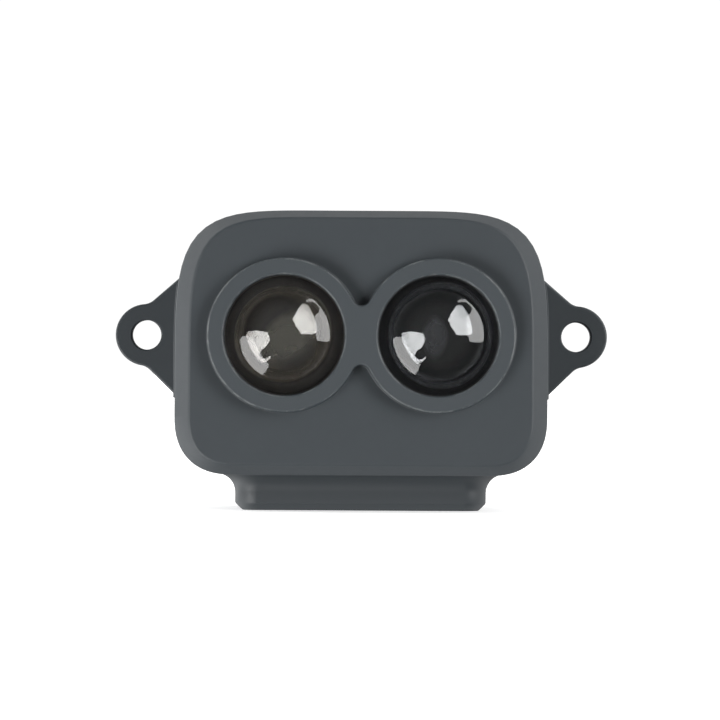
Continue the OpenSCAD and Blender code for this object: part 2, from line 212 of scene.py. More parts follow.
def ring_lathe(name, profile, x):
    """A closed profile of (radius, y) points turned about a line along Y, such as a tube or a seal."""
    bm = bmesh.new()
    rows = [circle(bm, r, y, x, 0, LATHE_STEPS) for r, y in profile]
    for a, b in zip(rows, rows[1:] + rows[:1]):
        for i in range(LATHE_STEPS):
            j = (i + 1) % LATHE_STEPS
            bm.faces.new((a[i], a[j], b[j], b[i]))
    return from_bmesh(name, bm)


def arc(centre, radius, start, end, steps):
    """Points of an arc in a plane, from start to end in degrees."""
    out = []
    for i in range(steps + 1):
        a = radians(start + (end - start) * i / steps)
        out.append((centre[0] + radius * cos(a), centre[1] + radius * sin(a)))
    return out


def rounded_rect(w, h, r, steps=8):
    """The outline of a rectangle of full width w and height h with rounded corners."""
    x, y = w / 2 - r, h / 2 - r
    return (
        arc((x, y), r, 0, 90, steps)
        + arc((-x, y), r, 90, 180, steps)
        + arc((-x, -y), r, 180, 270, steps)
        + arc((x, -y), r, 270, 360, steps)
    )


def at_y(points, y, x0=0.0, z0=0.0):
    return [(x0 + x, y, z0 + z) for x, z in points]


def at_z(points, z):
    return [(x, y, z) for x, y in points]


def round_over(radius, steps=4):
    """(inset, depth) pairs down a rounded edge, from the flat top, with the radius as inset, to the side."""
    out = []
    for i in range(steps + 1):
        a = radians(90 * i / steps)
        out.append((radius * (1 - sin(a)), radius * (1 - cos(a))))
    return out


def soft_slab(name, outline, y0, y1, edge, x0=0.0, z0=0.0, steps=3):
    """An extrusion along Y with rounded edges. outline(d) gives the outline moved in by d."""
    down = round_over(edge, steps)
    rings = [at_y(outline(inset), y0 + depth, x0, z0) for inset, depth in down]
    rings += [at_y(outline(inset), y1 - depth, x0, z0) for inset, depth in reversed(down)]
    return skin(name, rings)


def box_mesh(low, high):
    bm = bmesh.new()
    bmesh.ops.create_cube(bm, size=1)
    bmesh.ops.scale(bm, vec=Vector(high) - Vector(low), verts=bm.verts)
    bmesh.ops.translate(bm, vec=(Vector(high) + Vector(low)) / 2, verts=bm.verts)
    return bm


def sharp_box(low, high):
    """A plain box that cuts another piece."""
    return from_bmesh("cutter", box_mesh(low, high))


def soft_box(name, low, high, edge):
    """A box with rounded edges all round."""
    bm = box_mesh(low, high)
    bmesh.ops.bevel(bm, geom=bm.edges[:], offset=edge, segments=2, profile=0.5, affect="EDGES")
    return from_bmesh(name, bm)


def combine(piece, other, operation):
    """An exact boolean of piece with other, which is then removed."""
    modifier = piece.modifiers.new("cut", "BOOLEAN")
    modifier.object = other
    modifier.operation = operation
    modifier.solver = "EXACT"
    apply_modifiers(piece)
    bpy.data.objects.remove(other)
    return piece


def cut(piece, *others):
    for other in others:
        combine(piece, other, "DIFFERENCE")
    return piece


def add(piece, *others):
    for other in others:
        combine(piece, other, "UNION")
    return piece


def apply_modifiers(piece):
    graph = bpy.context.evaluated_depsgraph_get()
    mesh = bpy.data.meshes.new_from_object(piece.evaluated_get(graph))
    piece.modifiers.clear()
    old = piece.data
    piece.data = mesh
    bpy.data.meshes.remove(old)


def join(name, pieces):
    """One object from several separate solids."""
    bm = bmesh.new()
    for piece in pieces:
        bm.from_mesh(piece.data)
        bpy.data.objects.remove(piece)
    mesh = bpy.data.meshes.new(name)
    bm.to_mesh(mesh)
    bm.free()
    return new_object(name, mesh)


def tidy(piece):
    """Merges what a boolean leaves doubled, so that shading runs smoothly over curved faces."""
    bm = bmesh.new()
    bm.from_mesh(piece.data)
    bmesh.ops.remove_doubles(bm, verts=bm.verts, dist=1e-7)
    bmesh.ops.dissolve_degenerate(bm, edges=bm.edges, dist=1e-7)
    bm.to_mesh(piece.data)
    bm.free()
    return piece


def smooth(piece, angle=32):
    mesh = piece.data
    mesh.polygons.foreach_set("use_smooth", [True] * len(mesh.polygons))
    mesh.set_sharp_from_angle(angle=radians(angle))
    weighted = piece.modifiers.new("normals", "WEIGHTED_NORMAL")
    weighted.keep_sharp = True
    weighted.weight = 90
    return piece


def place(piece, node, slot, *materials):
    """Gives a finished piece its materials and the body it rides on, and hides the CAD node that it stands in
    for.
    """
    for material in materials:
        piece.data.materials.append(material)
    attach(piece, "root")
    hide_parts(node)
    return piece


# ---- Outlines ----


def squared_corner(x, z, shape, start):
    """A quarter of a squared ellipse about (x, z), from the start angle on."""
    across, up, squareness = shape
    out = []
    for i in range(CORNER_STEPS + 1):
        t = radians(start + 90 * i / CORNER_STEPS)
        reach = (abs(cos(t)) ** squareness + abs(sin(t)) ** squareness) ** (-1 / squareness)
        out.append((x + across * reach * cos(t), z + up * reach * sin(t)))
    return out


def case_outline(side, top, low):
    """The case seen from in front, moved in at its sides, top and underside."""
    w, high, base = CASE_HALF_W - side, CASE_TOP - top, CASE_LOW + low
    t = (TOP_CORNER[0] - side, TOP_CORNER[1] - top, TOP_CORNER[2])
    b = (LOW_CORNER[0] - side, LOW_CORNER[1] - low, LOW_CORNER[2])
    return (
        squared_corner(w - t[0], high - t[1], t, 0)
        + squared_corner(t[0] - w, high - t[1], t, 90)
        + squared_corner(b[0] - w, base + b[1], b, 180)
        + squared_corner(w - b[0], base + b[1], b, 270)
    )


def inset(d):
    return case_outline(d, d, d)


def rear_outline(d):
    return case_outline(REAR_STEP + d, REAR_STEP + d, REAR_STEP_LOW + d)


def figure_eight(d):
    """Two touching rings with rounded notches between them, moved in by d, or out where d is negative."""
    r = COLLAR_R - d
    notch = NOTCH_R + d
    notch_z = sqrt((COLLAR_R + NOTCH_R) ** 2 - LENS_HALF_PITCH**2)
    half = degrees(atan2(notch_z, LENS_HALF_PITCH))
    steps, notch_steps = 96, 16
    return (
        arc((LENS_HALF_PITCH, 0), r, half - 180, 180 - half, steps)
        + arc((0, notch_z), notch, -half, half - 180, notch_steps)[1:-1]
        + arc((-LENS_HALF_PITCH, 0), r, half, 360 - half, steps)
        + arc((0, -notch_z), notch, 180 - half, half, notch_steps)[1:-1]
    )


def ear_edge(shape, d):
    """An ear's upper edge on the +X side, from inside the case to the round tip, moved in by d."""
    root_z, angle = shape
    tip = Vector((EAR_HOLE_X, 0))
    root = Vector((CASE_HALF_W, root_z))
    slope = Vector((cos(angle), -sin(angle)))
    out = Vector((sin(angle), cos(angle)))
    reach = root + EAR_FILLET * out - tip
    run = -reach.dot(slope) - sqrt(reach.dot(slope) ** 2 - reach.dot(reach) + (EAR_TIP_R + EAR_FILLET) ** 2)
    centre = root + run * slope + EAR_FILLET * out
    meet = degrees(atan2(tip.y - centre.y, tip.x - centre.x))
    root_run = 3 * MM
    inner = root - root_run * slope - d * out
    curve = arc(centre, EAR_FILLET + d, -90 - degrees(angle), meet, 12)
    return [(inner.x, inner.y)] + curve, meet + 180


def ear_outline(d):
    """One ear on the +X side, moved in by d, with its root buried in the case."""
    upper, high_end = ear_edge(EAR_TOP, d)
    lower, low_end = ear_edge(EAR_LOW, d)
    round_tip = arc((EAR_HOLE_X, 0), EAR_TIP_R - d, high_end, -low_end, 48)[1:-1]
    return upper + round_tip + [(x, -z) for x, z in reversed(lower)]


def foot_plan(d):
    """The foot's outline from above, moved out by d."""
    r = FOOT_ROUND + d
    x = FOOT_HALF_W + d - r
    back = REAR_Y + d - r
    front = FOOT_FRONT_Y - d + r
    steps = 14
    return (
        arc((x, back), r, 0, 90, steps)
        + arc((-x, back), r, 90, 180, steps)
        + arc((-x, front), r, 180, 270, steps)
        + arc((x, front), r, 270, 360, steps)
    )


def foot(name):
    """The foot with its sloping lower edge and the fillet that runs it into the case."""
    steps, soft = 10, 0.05 * MM
    rings = [
        at_z(foot_plan(-FOOT_EDGE - soft), BASE_Z),
        at_z(foot_plan(-FOOT_EDGE), BASE_Z + soft * 0.4),
        at_z(foot_plan(-soft), BASE_Z + FOOT_EDGE - soft),
        at_z(foot_plan(0), BASE_Z + FOOT_EDGE + soft),
    ]
    for i in range(steps + 1):
        a = radians(90 * i / steps)
        rings.append(at_z(foot_plan(FLARE_R * (1 - cos(a))), CASE_LOW - FLARE_R * (1 - sin(a))))
    rings.append(at_z(foot_plan(FLARE_R), CASE_LOW + SUNK))
    return skin(name, rings)


# ---- Materials ----


def new_material(name):
    material = bpy.data.materials.new(name)
    material.use_nodes = True
    tree = material.node_tree
    tree.nodes.clear()
    out = tree.nodes.new("ShaderNodeOutputMaterial")
    shader = tree.nodes.new("ShaderNodeBsdfPrincipled")
    tree.links.new(shader.outputs["BSDF"], out.inputs["Surface"])
    return material, tree, shader


def noise(tree, scale, detail, roughness=0.5):
    """Noise over the object's own coordinates; scale is in features per metre."""
    coords = tree.nodes.new("ShaderNodeTexCoord")
    texture = tree.nodes.new("ShaderNodeTexNoise")
    texture.inputs["Scale"].default_value = scale
    texture.inputs["Detail"].default_value = detail
    texture.inputs["Roughness"].default_value = roughness
    tree.links.new(coords.outputs["Object"], texture.inputs["Vector"])
    return texture.outputs["Fac"]


def ramp(tree, source, stops):
    """Colours along a value, from (position, colour) stops."""
    node = tree.nodes.new("ShaderNodeValToRGB")
    elements = node.color_ramp.elements
    while len(elements) < len(stops):
        elements.new(0.5)
    for element, (position, colour) in zip(elements, stops):
        element.position = position
        element.color = (*colour, 1)
    tree.links.new(source, node.inputs["Fac"])
    return node.outputs["Color"]


def spread(tree, source, low, high):
    """Stretches noise, which keeps near the middle, to run from low to high."""
    node = tree.nodes.new("ShaderNodeMapRange")
    node.inputs["From Min"].default_value = 0.3
    node.inputs["From Max"].default_value = 0.7
    node.inputs["To Min"].default_value = low
    node.inputs["To Max"].default_value = high
    tree.links.new(source, node.inputs["Value"])
    return node.outputs["Result"]


def bump(tree, shader, source, distance, strength, under=None):
    """Raises the surface by a height socket, on top of an earlier bump if there is one."""
    node = tree.nodes.new("ShaderNodeBump")
    node.inputs["Strength"].default_value = strength
    node.inputs["Distance"].default_value = distance
    tree.links.new(source, node.inputs["Height"])
    if under is not None:
        tree.links.new(under, node.inputs["Normal"])
    tree.links.new(node.outputs["Normal"], shader.inputs["Normal"])
    return node.outputs["Normal"]


def plastic(name, dark, light, rough=(0.5, 0.6), grain=0.004, level=0.5, grain_scale=9000):
    """Moulded plastic: a fine spark-eroded grain, and faint wide changes of tone and gloss."""
    material, tree, shader = new_material(name)
    mottle = noise(tree, 700, 3, 0.55)
    colour = ramp(tree, mottle, [(0.32, dark), (0.68, light)])
    tree.links.new(colour, shader.inputs["Base Color"])
    tree.links.new(spread(tree, noise(tree, 1600, 2), *rough), shader.inputs["Roughness"])
    shader.inputs["Specular IOR Level"].default_value = level
    fine = bump(tree, shader, noise(tree, grain_scale, 2, 0.6), grain * MM, 0.8)
    bump(tree, shader, noise(tree, 900, 2), 0.004 * MM, 0.35, fine)
    return material


CASE_DARK = (0.0188, 0.0243, 0.0287)
CASE_LIGHT = (0.0197, 0.0254, 0.0298)
# Painted light: the raised collar's face is painted lighter than the panel of the same plastic.
COLLAR_LIT_TONE = (0.0245, 0.0308, 0.0355)
# Painted shade: the foot is painted darker where it lies back under the case's overhang.
FOOT_SHADE_TONE = (0.0148, 0.0192, 0.0226)
# Painted highlight and partly rubbed wear: the paler colour of the broken lines along the collar's edges.
RUB_AND_HIGHLIGHT_TONE = (0.075, 0.083, 0.085)
# How far the pale edge lines, painted highlight and partly rubbed wear, stray from the collar's edges, how
# wide they are, and how far in they lie
EDGE_LINE_WOBBLE = 0.035 * MM
EDGE_LINE_OUTER_W = 0.07 * MM
EDGE_LINE_INNER_W = 0.06 * MM
EDGE_LINE_IN = 0.05 * MM
# The outer lines fade out towards the notches between the two rings, at these distances from the middle
EDGE_LINE_FADE = (1.1 * MM, 1.7 * MM)


def case_plastic(name):
    return plastic(name, CASE_DARK, CASE_LIGHT, (0.53, 0.57), 0.003)


def from_axis(tree, x, z):
    """The offset from an axis along Y, with its Y part left out."""
    coords = tree.nodes.new("ShaderNodeTexCoord")
    move = tree.nodes.new("ShaderNodeVectorMath")
    move.operation = "SUBTRACT"
    move.inputs[1].default_value = (x, 0, z)
    tree.links.new(coords.outputs["Object"], move.inputs[0])
    flat = tree.nodes.new("ShaderNodeVectorMath")
    flat.operation = "MULTIPLY"
    flat.inputs[1].default_value = (1, 0, 1)
    tree.links.new(move.outputs[0], flat.inputs[0])
    return flat.outputs[0]


def length(tree, vector):
    node = tree.nodes.new("ShaderNodeVectorMath")
    node.operation = "LENGTH"
    tree.links.new(vector, node.inputs[0])
    return node.outputs["Value"]


def ease(tree, value, low, high, top=1.0):
    """A smooth step from 0 at low to top at high."""
    node = tree.nodes.new("ShaderNodeMapRange")
    node.interpolation_type = "SMOOTHSTEP"
    node.inputs["From Min"].default_value = low
    node.inputs["From Max"].default_value = high
    node.inputs["To Max"].default_value = top
    tree.links.new(value, node.inputs["Value"])
    return node.outputs["Result"]


def maths(tree, operation, a, b):
    """One operation on two values, each a socket or a number."""
    node = tree.nodes.new("ShaderNodeMath")
    node.operation = operation
    for socket, value in zip(node.inputs, (a, b)):
        if isinstance(value, (int, float)):
            socket.default_value = value
        else:
            tree.links.new(value, socket)
    return node.outputs[0]


def blend(tree, factor, a, b):
    """Mixes two colours, each a socket or a tuple."""
    node = tree.nodes.new("ShaderNodeMix")
    node.data_type = "RGBA"
    tree.links.new(factor, node.inputs["Factor"])
    for key, value in (("A", a), ("B", b)):
        if isinstance(value, tuple):
            node.inputs[key].default_value = (*value, 1)
        else:
            tree.links.new(value, node.inputs[key])
    return node.outputs["Result"]


def ring_line(tree, distance, radius, width):
    """A thin soft line where the distance from an axis comes to the radius."""
    off = maths(tree, "ABSOLUTE", maths(tree, "SUBTRACT", distance, radius), 0)
    return ease(tree, off, width, 0.35 * width)


def front_case_plastic(name):
    """Case plastic with the collar painted lighter as painted light, pale broken lines on the collar's edges
    that are painted highlight and partly rubbed wear, and the foot painted darker as painted shade under the
    case.
    """
    material = case_plastic(name)
    tree = material.node_tree
    shader = tree.nodes["Principled BSDF"]
    base = shader.inputs["Base Color"].links[0].from_socket
    coords = tree.nodes.new("ShaderNodeTexCoord")
    parts = tree.nodes.new("ShaderNodeSeparateXYZ")
    tree.links.new(coords.outputs["Object"], parts.inputs[0])
    side = maths(tree, "ABSOLUTE", parts.outputs["X"], 0)
    folded = tree.nodes.new("ShaderNodeCombineXYZ")
    tree.links.new(maths(tree, "SUBTRACT", side, LENS_HALF_PITCH), folded.inputs["X"])
    tree.links.new(parts.outputs["Z"], folded.inputs["Z"])
    wobble = maths(tree, "MULTIPLY", spread(tree, noise(tree, 2600, 4, 0.7), -1, 1), EDGE_LINE_WOBBLE)
    distance = maths(tree, "ADD", length(tree, folded.outputs[0]), wobble)
    outer_ring = ring_line(tree, distance, COLLAR_R - EDGE_LINE_IN, EDGE_LINE_OUTER_W)
    outer = maths(tree, "MULTIPLY", outer_ring, ease(tree, side, *EDGE_LINE_FADE))
    inner = ring_line(tree, distance, APERTURE_R + EDGE_LINE_IN, EDGE_LINE_INNER_W)
    lines = maths(tree, "MAXIMUM", outer, inner)
    patchy = ease(tree, noise(tree, 900, 5, 0.75), 0.42, 0.6)
    on_collar = ease(tree, parts.outputs["Y"], COLLAR_Y + 0.3 * MM, COLLAR_Y + 0.15 * MM)
    # Painted highlight, partly rubbed wear: pale broken lines along the collar's outer and inner edges.
    rub_and_highlight = maths(tree, "MULTIPLY", maths(tree, "MULTIPLY", lines, patchy), on_collar)
    # Painted light: the collar's face is painted lighter than the panel.
    face = blend(tree, on_collar, base, COLLAR_LIT_TONE)
    # Painted shade: the foot below the case is painted darker.
    foot_shade = ease(tree, parts.outputs["Z"], CASE_LOW + 0.05 * MM, CASE_LOW - 0.1 * MM)
    face = blend(tree, foot_shade, face, FOOT_SHADE_TONE)
    tree.links.new(blend(tree, rub_and_highlight, face, RUB_AND_HIGHLIGHT_TONE), shader.inputs["Base Color"])
    return material


def rubber(name, dark, light):
    return plastic(name, dark, light, (0.6, 0.75), 0.01, 0.35, 6000)


# Where the painted shade inside a lens rim comes in and where it goes, as distances from the axis
RIM_SHADE_IN = (1.5 * MM, 2.8 * MM)
RIM_SHADE_OUT = (3.1 * MM, 3.55 * MM)


def optical(name, tint, haze, coating, ior, node=None, rim_shade=None):
    """Polished plastic with fine dust, whose reflections the coating scales.

    A lens can have a darker band inside its rim, centred on its node: painted shade over what is seen through
    the lens there.
    """
    material, tree, shader = new_material(name)
    pale = tuple(min(1, 1.04 * c) for c in tint)
    tone = ramp(tree, noise(tree, 1800, 5, 0.7), [(0.4, tint), (0.75, pale)])
    if rim_shade:
        centre = middle(node)
        distance = length(tree, from_axis(tree, centre.x, centre.z))
        # Painted shade: the lens colour is darkened in a band inside its rim.
        band = maths(tree, "SUBTRACT", ease(tree, distance, *RIM_SHADE_IN), ease(tree, distance, *RIM_SHADE_OUT))
        tone = blend(tree, band, tone, rim_shade)
    tree.links.new(tone, shader.inputs["Base Color"])
    shader.inputs["Transmission Weight"].default_value = 1 - haze
    shader.inputs["IOR"].default_value = ior
    shader.inputs["Specular Tint"].default_value = (coating, coating, coating, 1)
    tree.links.new(spread(tree, noise(tree, 2500, 6, 0.7), 0.0, 0.02), shader.inputs["Roughness"])
    return material


def marked(name, base, mark, node, offset, half, turn):
    """A matt face with one small metallic mark, such as a die, whose half length and half width are given."""
    material, tree, shader = new_material(name)
    centre = middle(node)
    shape = tree.nodes.new("ShaderNodeMapping")
    shape.vector_type = "TEXTURE"
    shape.inputs["Rotation"].default_value = (0, radians(turn), 0)
    shape.inputs["Scale"].default_value = (half[0], 1, half[1])
    tree.links.new(from_axis(tree, centre.x + offset[0], centre.z + offset[1]), shape.inputs["Vector"])
    inside = ease(tree, length(tree, shape.outputs["Vector"]), 1.25, 0.6)
    speckle = ramp(tree, noise(tree, 14000, 3, 0.6), [(0.3, tuple(0.7 * c for c in mark)), (0.7, mark)])
    tree.links.new(blend(tree, inside, base, speckle), shader.inputs["Base Color"])
    tree.links.new(inside, shader.inputs["Metallic"])
    rough = spread(tree, noise(tree, 6000, 2), 0.5, 0.7)
    polish = maths(tree, "MULTIPLY", inside, 0.35)
    tree.links.new(maths(tree, "SUBTRACT", rough, polish), shader.inputs["Roughness"])
    return material


def metal(name, colour, rough):
    """Bare metal with a faint change of tone and a fine grain."""
    material, tree, shader = new_material(name)
    dark = tuple(0.86 * c for c in colour)
    tone = ramp(tree, noise(tree, 2200, 4, 0.6), [(0.3, dark), (0.7, colour)])
    tree.links.new(tone, shader.inputs["Base Color"])
    shader.inputs["Metallic"].default_value = 1
    tree.links.new(spread(tree, noise(tree, 5000, 3, 0.6), *rough), shader.inputs["Roughness"])
    bump(tree, shader, noise(tree, 8000, 2), 0.002 * MM, 0.5)
    return material


def circuit_board():
    """Green solder mask: copper tracks show through it as slightly lighter, raised lines."""
    material, tree, shader = new_material("circuit_board")
    coords = tree.nodes.new("ShaderNodeTexCoord")
    brick = tree.nodes.new("ShaderNodeTexBrick")
    brick.inputs["Scale"].default_value = 420
    brick.inputs["Mortar Size"].default_value = 0.03
    brick.inputs["Color1"].default_value = (0.006, 0.09, 0.032, 1)
    brick.inputs["Color2"].default_value = (0.006, 0.075, 0.028, 1)
    brick.inputs["Mortar"].default_value = (0.016, 0.15, 0.06, 1)
    turn = tree.nodes.new("ShaderNodeMapping")
    turn.inputs["Rotation"].default_value = (pi / 2, 0, 0)
    tree.links.new(coords.outputs["Object"], turn.inputs["Vector"])
    tree.links.new(turn.outputs["Vector"], brick.inputs["Vector"])
    tree.links.new(brick.outputs["Color"], shader.inputs["Base Color"])
    tree.links.new(spread(tree, noise(tree, 1500, 3), 0.25, 0.4), shader.inputs["Roughness"])
    bump(tree, shader, brick.outputs["Fac"], 0.02 * MM, 0.6)
    return material


# ---- Case ----


def panel_rings():
    """The front shell from the panel back to the split, with soft edges on both sides of the slope."""
    # Insets at the sides, top and underside, and the depth behind the panel
    slope = [
        (EDGE_SIDE + 0.16 * MM, EDGE_TOP + 0.14 * MM, EDGE_LOW + 0.15 * MM, 0),
        (EDGE_SIDE + 0.08 * MM, EDGE_TOP + 0.07 * MM, EDGE_LOW + 0.075 * MM, 0.012 * MM),
        (EDGE_SIDE + 0.01 * MM, EDGE_TOP + 0.005 * MM, EDGE_LOW + 0.01 * MM, 0.045 * MM),
        (EDGE_SIDE - 0.05 * MM, EDGE_TOP - 0.03 * MM, EDGE_LOW - 0.04 * MM, 0.1 * MM),
        (0.06 * MM, 0.035 * MM, 0.045 * MM, EDGE_DEPTH - 0.06 * MM),
        (0.025 * MM, 0.015 * MM, 0.02 * MM, EDGE_DEPTH),
        (0, 0, 0, EDGE_DEPTH + 0.09 * MM),
    ]
    rings = [at_y(case_outline(s, t, b), PANEL_Y + y) for s, t, b, y in slope]
    lip = 0.07 * MM
    rings.append(at_y(inset(SPLIT_INSET), SPLIT_Y - 2 * lip))
    rings.append(at_y(inset(SPLIT_INSET + 0.02 * MM), SPLIT_Y - lip))
    rings.append(at_y(inset(SPLIT_INSET + lip), SPLIT_Y - 0.005 * MM))
    return rings


def collar():
    """The figure-eight collar: a soft outer edge, and a small fillet where it meets the panel."""
    edge, foot_fillet = 0.13 * MM, 0.12 * MM
    rings = [at_y(figure_eight(i), COLLAR_Y + d) for i, d in round_over(edge, 5)]
    for i in range(5):
        a = radians(90 * i / 4)
        rings.append(at_y(figure_eight(-foot_fillet * (1 - cos(a))), PANEL_Y - foot_fillet * (1 - sin(a))))
    rings.append(at_y(figure_eight(-foot_fillet), PANEL_Y + SUNK))
    return skin("collar", rings)


def aperture_cutter(x):
    """The opening in front of a lens: soft lip, straight wall, then the wider seat."""
    lip = 0.16 * MM
    soft = [(APERTURE_R + i, COLLAR_Y + d) for i, d in round_over(lip, 5)]
    profile = [(0, COLLAR_Y - OVER), (APERTURE_R + lip, COLLAR_Y - OVER)]
    profile += soft
    profile += [(APERTURE_R, SEAT_Y), (BORE_R, SEAT_Y), (BORE_R, SPLIT_Y + OVER), (0, SPLIT_Y + OVER)]
    return lathe("cutter", profile, x)


def side_pads():
    """The flat pads on both sides of the case, in line with the ears, as one band through the case."""
    edge, wide = 0.05 * MM, 15 * MM
    depths = [
        (edge, PAD_FRONT_Y),
        (0, PAD_FRONT_Y + edge),
        (0, SPLIT_Y - 0.07 * MM),
        (edge, SPLIT_Y - 0.02 * MM),
    ]
    band = skin("pads", [at_y(inset(depth - PAD_OUT), y) for depth, y in depths])
    keep = soft_box("cutter", (-wide, PAD_FRONT_Y - OVER, PAD_LOW_Z), (wide, 0, PAD_HIGH_Z), 0.1 * MM)
    return combine(band, keep, "INTERSECT")


def half_foot(name, y0, y1):
    """The part of the foot that belongs to one housing."""
    keep = sharp_box((-WHOLE, y0, -WHOLE), (WHOLE, y1, WHOLE))
    return combine(foot(name), keep, "INTERSECT")


def hollow(wall, y0, y1):
    """A cutter for a housing's inside, which keeps the given wall all round."""
    return skin("cutter", [at_y(inset(wall), y0), at_y(inset(wall), y1)])


def make_front_housing():
    """The front shell with its collar, side pads and half foot, hollow round the two lens barrels."""
    shell = skin("front_shell", panel_rings())
    add(shell, half_foot("front_foot", -WHOLE, SPLIT_Y - 0.01 * MM), side_pads(), collar())
    cut(shell, hollow(FRONT_WALL, FRONT_HOLLOW_Y, SPLIT_Y + OVER))
    add(shell, skin("barrels", [at_y(figure_eight(0), y) for y in BARREL_ENDS]))
    cut(shell, aperture_cutter(EMITTER_X), aperture_cutter(RECEIVER_X))
    return smooth(tidy(shell))


def rear_flange():
    """The flange behind the split, with a soft edge on both sides."""
    lip, back = 0.07 * MM, 0.1 * MM
    flange = [
        (SPLIT_INSET + lip, SPLIT_Y + 0.005 * MM),
        (SPLIT_INSET + 0.02 * MM, SPLIT_Y + lip),
        (SPLIT_INSET, SPLIT_Y + 2 * lip),
        (SPLIT_INSET, -back),
        (SPLIT_INSET + 0.3 * back, -0.3 * back),
        (SPLIT_INSET + back, -0.01 * MM),
    ]
    return skin("rear_flange", [at_y(inset(d), y) for d, y in flange])


def rear_body():
    """The rear shell, from inside the flange to the rounded edge of the rear face."""
    body = [at_y(rear_outline(0), -0.4 * MM)]
    steps = 10
    for i in range(steps + 1):
        a = radians(90 * i / steps)
        body.append(at_y(rear_outline(REAR_ROUND * (1 - cos(a))), REAR_Y - REAR_ROUND * (1 - sin(a))))
    return skin("rear_body", body)


def make_ear(side):
    """A screw ear, on the +X side for 1 and on the -X side for -1."""
    ear = soft_slab("ear", ear_outline, SPLIT_Y + 0.005 * MM, -0.005 * MM, 0.14 * MM, steps=4)
    if side < 0:
        ear.data.transform(Matrix.Scale(-1, 4, (1, 0, 0)))
        ear.data.flip_normals()
    return ear


def through_hole(x):
    """A cutter for an ear's hole, with rounded edges on both faces."""
    edge = 0.12 * MM
    soft = round_over(edge)
    profile = [(0, SPLIT_Y - OVER), (EAR_HOLE_R + edge, SPLIT_Y - OVER)]
    profile += [(EAR_HOLE_R + i, SPLIT_Y + d) for i, d in soft]
    profile += [(EAR_HOLE_R + i, -d) for i, d in reversed(soft)]
    profile += [(EAR_HOLE_R + edge, OVER), (0, OVER)]
    return lathe("cutter", profile, x, 0, HOLE_STEPS)


def head_hole(x, z):
    """A cutter for a housing screw: its shank's hole, then the wider one for its head."""
    edge = 0.1 * MM
    seat_y = REAR_Y - HEAD_HOLE_DEEP
    profile = [(0, SPLIT_Y - OVER), (SCREW_HOLE_R, SPLIT_Y - OVER)]
    profile += [(SCREW_HOLE_R, seat_y), (HEAD_HOLE_R, seat_y)]
    profile += [(HEAD_HOLE_R + i, REAR_Y - d) for i, d in reversed(round_over(edge))]
    profile += [(HEAD_HOLE_R + edge, REAR_Y + OVER), (0, REAR_Y + OVER)]
    return lathe("cutter", profile, x, z, HOLE_STEPS)


def rear_recess(node, shape, y0):
    """A cutter from y0 out through the rear face, in line with a node: width, height and corner radius."""
    at = middle(node)
    outline = rounded_rect(*shape)
    return skin("cutter", [at_y(outline, y, at.x, at.z) for y in (y0, REAR_Y + OVER)])


def make_rear_housing():
    """The rear shell with its flange, ears and half foot, and its holes for screws, socket and label."""
    shell = rear_flange()
    add(shell, rear_body(), make_ear(1), make_ear(-1))
    add(shell, half_foot("rear_foot", SPLIT_Y + 0.01 * MM, REAR_Y - 0.005 * MM))
    foot_low = (-FOOT_HOLLOW_HALF_W, SPLIT_Y - OVER, BASE_Z + FOOT_FLOOR)
    foot_high = (FOOT_HOLLOW_HALF_W, REAR_HOLLOW_Y, 0)
    cut(shell, hollow(REAR_WALL, SPLIT_Y - OVER, REAR_HOLLOW_Y), sharp_box(foot_low, foot_high))
    cut(shell, through_hole(EAR_HOLE_X), through_hole(-EAR_HOLE_X))
    for x, z in SCREWS:
        cut(shell, head_hole(x, z))
    cut(shell, rear_recess("socket_body", SOCKET_OPENING, SOCKET_OPENING_Y))
    cut(shell, rear_recess("rear_label", LABEL_RECESS, REAR_Y - LABEL_RECESS_DEEP))
    return smooth(tidy(shell))


# ---- Lenses ----


def sag(surface, r):
    """How far an aspheric surface falls away from its pole at distance r from the axis."""
    radius, conic, bulge = surface
    r = r / MM
    return MM * (r * r / (radius * (1 + sqrt(1 - (1 + conic) * (r / radius) ** 2))) + bulge * r**4)


def lens_profile():
    """An aspheric biconvex lens with a flat rim, from the front pole to the back pole."""
    front = FLANGE_Y - sag(LENS_FRONT, DOME_R)
    back = TUBE_Y + sag(LENS_BACK, DOME_R)
    steps, soft = 48, 0.06 * MM
    radii = [DOME_R * i / steps for i in range(steps + 1)]
    top = [(r, front + sag(LENS_FRONT, r)) for r in radii]
    under = [(r, back - sag(LENS_BACK, r)) for r in reversed(radii)]
    rim = [
        (LENS_R - soft, FLANGE_Y),
        (LENS_R, FLANGE_Y + soft),
        (LENS_R, TUBE_Y - soft),
        (LENS_R - soft, TUBE_Y),
    ]
    return top + rim + under


def make_lens(name, x):
    """A lens whose front dome takes the second material, the coated one."""
    piece = lathe(name, lens_profile(), x)
    for face in piece.data.polygons:
        if face.center.y < FLANGE_Y - 1e-6:
            face.material_index = 1
    return smooth(piece, 25)


def make_seal(name, x):
    """A flat ring between a lens and its seat."""
    soft = 0.04 * MM
    r0, r1 = DOME_R + 0.05 * MM, LENS_R
    y0, y1 = SEAT_Y, FLANGE_Y
    profile = [(r0 + soft, y0), (r1, y0), (r1, y1), (r0 + soft, y1), (r0, y1 - soft), (r0, y0 + soft)]
    return smooth(ring_lathe(name, profile, x))


